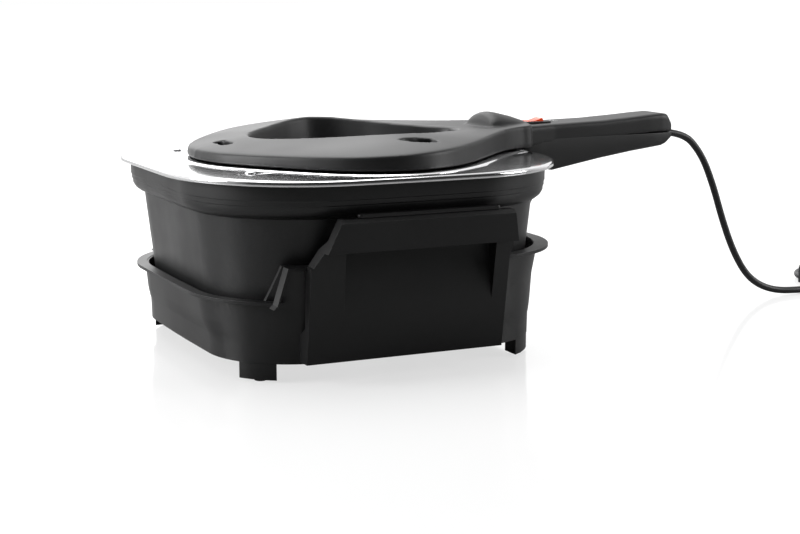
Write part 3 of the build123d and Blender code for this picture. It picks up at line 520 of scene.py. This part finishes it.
ventForm = {"end": (-98.0, 0.0), "endLow": 163, "length": 28.0, "width": 9.5,
            "side": (25.0, 113.0), "sideLow": 162,
            "sideOutline": ((-16, -4.5), (-9, -8.5), (3, -9.5), (13, -7), (15.5, -1), (13, 5),
                            (3, 7.5), (-9, 3.5))}
cutTop = 200     # above everything on the lid
ringSegments = 32


def crestZ(x):
    # height of the opening's edge, straight between its listed places
    points = coverForm["crest"]
    x = max(points[0][0], min(points[-1][0], x))
    for (x0, z0), (x1, z1) in zip(points, points[1:]):
        if x <= x1:
            return z0 + (z1 - z0) * ((x - x0) / (x1 - x0))


def skirtTop(p):
    f = coverForm
    return f["low"] + f["skirtLeft"] + f["skirtGain"] * (p.x - f["outer"][0][0])


def bridgeRings(bm, loops):
    for a, b in zip(loops, loops[1:]):
        bmesh.ops.bridge_loops(bm, edges=a + b)


def edgesOf(verts):
    return list({e for v in verts for e in v.link_edges})


def loftSections(sections):
    # sections are an x and its (y, z) outline
    bm = bmesh.new()
    loops = []
    for k, (x, outline) in enumerate(sections):
        verts = [bm.verts.new(at(x, y, z)) for y, z in outline]
        loops.append([bm.edges.new((a, b)) for a, b in zip(verts, verts[1:] + verts[:1])])
        if k in (0, len(sections) - 1):
            bm.faces.new(verts)
    bridgeRings(bm, loops)
    return bm


def boxPoints(half, low, high, highRound, lowRound):
    # upright section with rounded corners, as (y, z), run once round
    steps = handleForm["roundSteps"]
    points = []
    for sideY, sideZ, base, r in ((1, 1, 0, highRound), (-1, 1, 90, highRound),
                                  (-1, -1, 180, lowRound), (1, -1, 270, lowRound)):
        cy, cz = sideY * (half - r), (high - r) if sideZ > 0 else (low + r)
        for k in range(steps + 1):
            angle = math.radians(base + 90 * k / steps)
            points.append((cy + r * math.cos(angle), cz + r * math.sin(angle)))
    return points


def archPoints(half, top):
    low, foot = hoodForm["low"], hoodForm["foot"]
    points = []
    for k in range(hoodForm["count"] + 1):
        angle = math.pi * k / hoodForm["count"]
        rise = (top - low - foot) * math.sin(angle) ** hoodForm["fullness"]
        points.append((half * math.cos(angle), low + foot + rise))
    return points + [(-half, low), (half, low)]


def applyAll(piece):
    # the mesh with its modifiers takes the place of the bare one
    bpy.context.view_layer.update()
    graph = bpy.context.evaluated_depsgraph_get()
    done = bpy.data.meshes.new_from_object(piece.evaluated_get(graph), depsgraph=graph)
    piece.modifiers.clear()
    piece.data = done


def cutWith(piece, cutter, kind="DIFFERENCE"):
    change = piece.modifiers.new("cut", "BOOLEAN")
    change.operation, change.object, change.solver = kind, cutter, "EXACT"
    applyAll(piece)
    data = cutter.data
    bpy.data.objects.remove(cutter)
    bpy.data.meshes.remove(data)


def remesh(piece, voxel, softness, smooth):
    change = piece.modifiers.new("remesh", "REMESH")
    change.mode, change.voxel_size = "VOXEL", voxel * mm
    soft = piece.modifiers.new("soft", "SMOOTH")
    soft.factor, soft.iterations = softness, smooth
    applyAll(piece)


def raiseFaces(bm, height):
    # flat faces become a closed block
    grown = bmesh.ops.extrude_face_region(bm, geom=bm.faces[:])["geom"]
    verts = [v for v in grown if isinstance(v, bmesh.types.BMVert)]
    bmesh.ops.translate(bm, vec=(0, 0, height * mm), verts=verts)
    return newPiece("cutter", bm)


def slotCutter(x, y, turn, length, width, low):
    bm = bmesh.new()
    bmesh.ops.create_circle(bm, cap_ends=True, radius=0.5, segments=ringSegments)
    for vertex in bm.verts:
        stretch = math.copysign((length - width) / 2, vertex.co.x)
        vertex.co.x = vertex.co.x * width + stretch
        vertex.co.y *= width
    bmesh.ops.transform(bm, matrix=Matrix.Rotation(turn, 4, "Z"), verts=bm.verts)
    for vertex in bm.verts:
        vertex.co = at(vertex.co.x + x, vertex.co.y + y, low)
    return raiseFaces(bm, cutTop - low)


def outlineCutter(points, low):
    bm = bmesh.new()
    bm.faces.new([bm.verts.new(at(x, y, low)) for x, y in points])
    return raiseFaces(bm, cutTop - low)


def boxCutter(x, y, sizeX, sizeY, low, high):
    bm = bmesh.new()
    bmesh.ops.create_cube(bm, size=1)
    first = at(x - sizeX / 2, y - sizeY / 2, low)
    last = at(x + sizeX / 2, y + sizeY / 2, high)
    for vertex in bm.verts:
        vertex.co = Vector([first[k] + (vertex.co[k] + 0.5) * (last[k] - first[k])
                            for k in range(3)])
    return newPiece("cutter", bm)


def coverLevels():
    f = coverForm
    base = inset(coverOuter, f["slope"] + f["skirtRound"])
    crown = inset(coverOpening, f["crownEnd"])
    levels = [level(inset(coverOuter, amount), f["low"] + rise) for amount, rise in f["foot"]]
    levels.append(level(inset(coverOuter, f["slope"]), lambda p: skirtTop(p) - f["skirtDrop"]))
    levels.append([(p, skirtTop(q) + f["skirtRise"]) for p, q in zip(base, coverOuter)])
    for share in f["crownShares"]:
        places = []
        for p, q in zip(base, crown):
            low = skirtTop(p) + f["skirtRise"]
            rise = (crestZ(q.x) - low) * share ** f["crownPower"]
            places.append((p.lerp(q, share), low + rise))
        levels.append(places)
    levels += [level(inset(coverOpening, amount), lambda p: crestZ(p.x) + rise)
               for amount, rise in f["lip"]]
    levels.append(level(inset(coverOpening, f["wallLean"]), f["low"]))
    return levels


def buildCover():
    h, v, s = handleForm, ventForm, switchForm
    bm = bmesh.new()
    bridgeLevels(bm, coverLevels())
    cover = newPiece("lid_cover_moulding", bm)
    bm = loftSections([(x, boxPoints(half, low, high, h["topRound"], h["topLowRound"]))
                       for x, half, low, high in h["sections"]])
    cutWith(cover, newPiece("handle", bm), "UNION")
    bm = loftSections([(x, archPoints(half, top)) for x, half, top in hoodForm["sections"]])
    cutWith(cover, newPiece("hood", bm), "UNION")
    cutWith(cover, slotCutter(*v["end"], math.pi / 2, v["length"], v["width"], v["endLow"]))
    sideX, sideY = v["side"]
    for side in (-1, 1):
        outline = [(sideX + x, side * (sideY + y)) for x, y in v["sideOutline"]]
        cutWith(cover, outlineCutter(outline, v["sideLow"]))
    remesh(cover, h["voxel"], h["softness"], h["smooth"])
    cutWith(cover, boxCutter(s["x"], 0, s["length"], s["width"], s["low"], cutTop))
    finishPiece(cover, "cover", ["lid_cover", "handle_hood"])
    print("cover modelled", len(cover.data.polygons))


def buildHandleBase():
    h = handleForm
    bm = loftSections([(x, boxPoints(half, low, high - h["baseGap"], h["baseRound"],
                                     h["baseLowRound"])) for x, half, low, high in h["base"]])
    finishPiece(newPiece("handle_lower", bm), "cover", ["handle_base"])


buildCover()
buildHandleBase()
print("handle modelled")


# Mains lead, on the same points as its solids
cordForm = {
    "diameter": 6.5, "coilX": 572.0, "coilY": 36.0, "coilZ": 4.25, "coilRadius": 42.0,
    "step": 7.0, "halfTurnsIn": 4, "halfTurnsOut": 3, "perHalf": 8,
    "order": 3, "resolution": 8, "roundness": 5,
    "route": [(313.5, 0, 164), (350, 0, 164), (373, -0.5, 142), (387, -1.5, 111),
              (398, -2.5, 78), (411, -4, 46), (429, -5, 19), (456, -5.5, 5), (492, -8.5, 3.25),
              (530, -6, 4.25)],
    "tail": [(592, -6, 11.25), (620, -8, 15.25), (650, -9, 19), (668, -9, 19)],
    "carried": ("plug_body", "plug_pins", "plug_earth_clips", "coil_tie")}


def coilPoints():
    # half turns that shrink inwards, climb one step and grow outwards again
    f = cordForm
    points = []
    y, z, side, radius = f["coilY"] - f["coilRadius"], f["coilZ"], 1, f["coilRadius"]
    spread = 1 / math.cos(math.pi / f["perHalf"] / 2) ** 0.5
    for turn in range(f["halfTurnsIn"] + 1 + f["halfTurnsOut"]):
        climbing = turn == f["halfTurnsIn"]
        for k in range(f["perHalf"]):
            angle = math.pi * k / f["perHalf"]
            lift = f["step"] * (1 - math.cos(angle)) / 2 if climbing else 0
            points.append((f["coilX"] + side * radius * math.sin(angle) * spread,
                           y + side * radius * (1 - math.cos(angle)), z + lift))
        if climbing:
            z += f["step"]
        y += side * 2 * radius
        side = -side
        radius += f["step"] / 2 if turn >= f["halfTurnsIn"] else -f["step"] / 2
    points.append((f["coilX"], y, z))
    return points


def splineLength(piece):
    graph = bpy.context.evaluated_depsgraph_get()
    line = bpy.data.meshes.new_from_object(piece.evaluated_get(graph))
    ends = [[line.vertices[k].co for k in edge.vertices] for edge in line.edges]
    total = sum((a - b).length for a, b in ends)
    bpy.data.meshes.remove(line)
    return total


def buildCord():
    f = cordForm
    points = [at(*p) for p in f["route"] + coilPoints() + f["tail"]]
    data = bpy.data.curves.new("mains_lead", "CURVE")
    data.dimensions = "3D"
    spline = data.splines.new("NURBS")
    spline.points.add(len(points) - 1)
    for point, co in zip(spline.points, points):
        point.co = (*co, 1)
    spline.order_u = f["order"]
    spline.use_endpoint_u = True
    data.resolution_u = f["resolution"]
    piece = addToScene("mains_lead", data)
    bpy.context.view_layer.update()
    length = splineLength(piece)
    data.bevel_depth, data.bevel_resolution = f["diameter"] / 2 * mm, f["roundness"]
    data.materials.append(finishes["cord"])
    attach(piece, "lid")
    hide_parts("power_cord", "cord_coil", "cord_tail")
    print("mains lead", round(length, 3))


buildCord()

# Screws with crossed recesses in the lid's dimples, as radius and height over the seat
screwForm = {"seat": 156.6, "rings": ((4.6, 0.0), (4.6, 0.9), (4.1, 1.6), (3.0, 2.1), (1.2, 2.2)),
             "slotLength": 5.6, "slotWidth": 1.1, "slotDepth": 1.0, "slotTop": 5}


def buildLidScrews():
    f = screwForm
    bm = bmesh.new()
    for x, y in lidForm["screws"]:
        loops = []
        for radius, z in f["rings"]:
            made = bmesh.ops.create_circle(bm, cap_ends=False, radius=radius * mm,
                                           segments=ringSegments)["verts"]
            bmesh.ops.translate(bm, vec=at(x, y, f["seat"] + z), verts=made)
            loops.append(edgesOf(made))
        bridgeRings(bm, loops)
        bmesh.ops.contextual_create(bm, geom=loops[-1])
        bmesh.ops.contextual_create(bm, geom=loops[0])
    piece = newPiece("lid_screw_heads", bm)
    slotLow = f["seat"] + f["rings"][-1][1] - f["slotDepth"]
    for x, y in lidForm["screws"]:
        for sizeX, sizeY in ((f["slotLength"], f["slotWidth"]), (f["slotWidth"], f["slotLength"])):
            cutWith(piece, boxCutter(x, y, sizeX, sizeY, slotLow, f["seat"] + f["slotTop"]))
    finishPiece(piece, "steel", ["lid_screws"], smooth=False)


buildLidScrews()
print("screws modelled")

# Printed on and off marks on the handle
markForm = {"x": 213.0, "z": 178.0, "gap": 7.0, "height": 4.4, "line": 0.7, "thick": 0.12,
            "ovalWidth": 0.72}


def buildMarks():
    f = markForm
    bm = bmesh.new()
    stroke = bmesh.ops.create_cube(bm, size=1)["verts"]
    for vertex in stroke:
        x, y, z = vertex.co
        vertex.co = Vector((x * f["height"], y * f["line"] - f["gap"] / 2, z * f["thick"])) * mm
    half, low = f["height"] / 2, -f["thick"] / 2
    hole = half - f["line"]
    loops = []
    for radius, z in ((half, low), (half, -low), (hole, -low), (hole, low)):
        made = bmesh.ops.create_circle(bm, cap_ends=False, radius=radius,
                                       segments=ringSegments)["verts"]
        for vertex in made:
            y = vertex.co.y * f["ovalWidth"] + f["gap"] / 2
            vertex.co = Vector((vertex.co.x, y, z)) * mm
        loops.append(edgesOf(made))
    bridgeRings(bm, loops + loops[:1])
    bmesh.ops.translate(bm, vec=at(f["x"], 0, f["z"]), verts=bm.verts)
    finishPiece(newPiece("switch_marks", bm), "print", smooth=False)


buildMarks()

# Stepped sleeve of the lead, as distance along the lead and radius
sleeveForm = {"x": 313.5, "z": 164.0, "bore": 3.3, "segments": 40,
              "rings": ((0, 5.1), (9, 5.1), (17.5, 5.1), (18.0, 4.9), (19.2, 4.9), (19.6, 4.3),
                        (20.2, 4.3), (20.6, 4.7), (21.4, 4.6), (21.8, 4.15), (22.0, 4.1))}


def buildSleeve():
    f = sleeveForm
    bm = bmesh.new()
    end = f["rings"][-1][0]
    loops = []
    for run, radius in ((0, f["bore"]), *f["rings"], (end, f["bore"])):
        made = bmesh.ops.create_circle(bm, cap_ends=False, radius=radius * mm,
                                       segments=f["segments"])["verts"]
        for vertex in made:
            vertex.co = at(f["x"] + run, vertex.co.x / mm, f["z"] + vertex.co.y / mm)
        loops.append(edgesOf(made))
    bridgeRings(bm, loops + loops[:1])
    finishPiece(newPiece("lead_sleeve", bm), "cord", ["cord_strain_relief"])


buildSleeve()
print("marks and sleeve modelled")

# Studio: white floor and backdrop, soft boxes above, at both sides and behind.
# A lamp is its name, power, size and place
studio = {"lamps": (("topBox", 26, 1.5, (-0.1, 0.45, 1.7)),
                    ("leftBox", 22, 0.8, (-1.75, 0.35, 0.75)),
                    ("backBox", 22, 2.2, (0.1, 2.3, 1.3)),
                    ("rightBox", 16, 0.9, (1.7, -0.9, 0.75))),
          "aim": (0, 0, 0.1), "floorHalf": 14, "floorTone": 0.28, "floorRough": 0.10,
          "floorSpecular": 0.16, "floorLift": 0.66,
          "frontGlow": 0.03, "backGlow": 1.0, "glowFrom": -0.4, "glowTo": 0.5}


def addSoftBox(name, power, size, place):
    data = bpy.data.lights.new(name, "AREA")
    data.energy, data.size = power, size
    lamp = addToScene(name, data)
    lamp.location = place
    away = Vector(place) - Vector(studio["aim"])
    lamp.rotation_euler = away.to_track_quat("Z", "Y").to_euler()


def floorMaterial():
    # the camera sees the floor lifted towards white, and the light on the object stays the same
    material, nodes, links, shader = newMaterial("whiteFloor")
    tone = studio["floorTone"]
    setSockets(shader, {"Base Color": (tone, tone, tone, 1), "Roughness": studio["floorRough"],
                        "Specular IOR Level": studio["floorSpecular"]})
    path, lift = nodes.new("ShaderNodeLightPath"), nodes.new("ShaderNodeEmission")
    add, amount = nodes.new("ShaderNodeAddShader"), nodes.new("ShaderNodeMath")
    amount.operation = "MULTIPLY"
    amount.inputs[1].default_value = studio["floorLift"]
    links.new(path.outputs["Is Camera Ray"], amount.inputs[0])
    links.new(amount.outputs[0], lift.inputs["Strength"])
    links.new(shader.outputs[0], add.inputs[0])
    links.new(lift.outputs[0], add.inputs[1])
    links.new(add.outputs[0], nodes["Material Output"].inputs["Surface"])
    return material


def buildFloor():
    bm = bmesh.new()
    bmesh.ops.create_grid(bm, x_segments=1, y_segments=1, size=studio["floorHalf"])
    data = bpy.data.meshes.new("floor")
    bm.to_mesh(data)
    bm.free()
    data.materials.append(floorMaterial())
    addToScene("floor", data)


def lightWorld():
    # white for the camera; for the object dark in front and bright behind
    world = bpy.data.worlds.new("studio")
    bpy.context.scene.world = world
    world.use_nodes = True
    nodes, links = world.node_tree.nodes, world.node_tree.links
    path, place = nodes.new("ShaderNodeLightPath"), nodes.new("ShaderNodeTexCoord")
    split, ramp = nodes.new("ShaderNodeSeparateXYZ"), nodes.new("ShaderNodeMapRange")
    links.new(place.outputs["Object"], split.inputs[0])
    links.new(split.outputs["Y"], ramp.inputs["Value"])
    setSockets(ramp, {"From Min": studio["glowFrom"], "From Max": studio["glowTo"],
                      "To Min": studio["frontGlow"], "To Max": studio["backGlow"]})
    choose = nodes.new("ShaderNodeMix")
    links.new(path.outputs["Is Camera Ray"], choose.inputs["Factor"])
    links.new(ramp.outputs["Result"], choose.inputs["A"])
    choose.inputs["B"].default_value = 1.0
    ground = nodes["Background"]
    links.new(choose.outputs["Result"], ground.inputs["Strength"])
    ground.inputs["Color"].default_value = (1, 1, 1, 1)


buildFloor()
for lamp in studio["lamps"]:
    addSoftBox(*lamp)
lightWorld()
bpy.context.scene.view_settings.view_transform = "Standard"
print("studio lit")
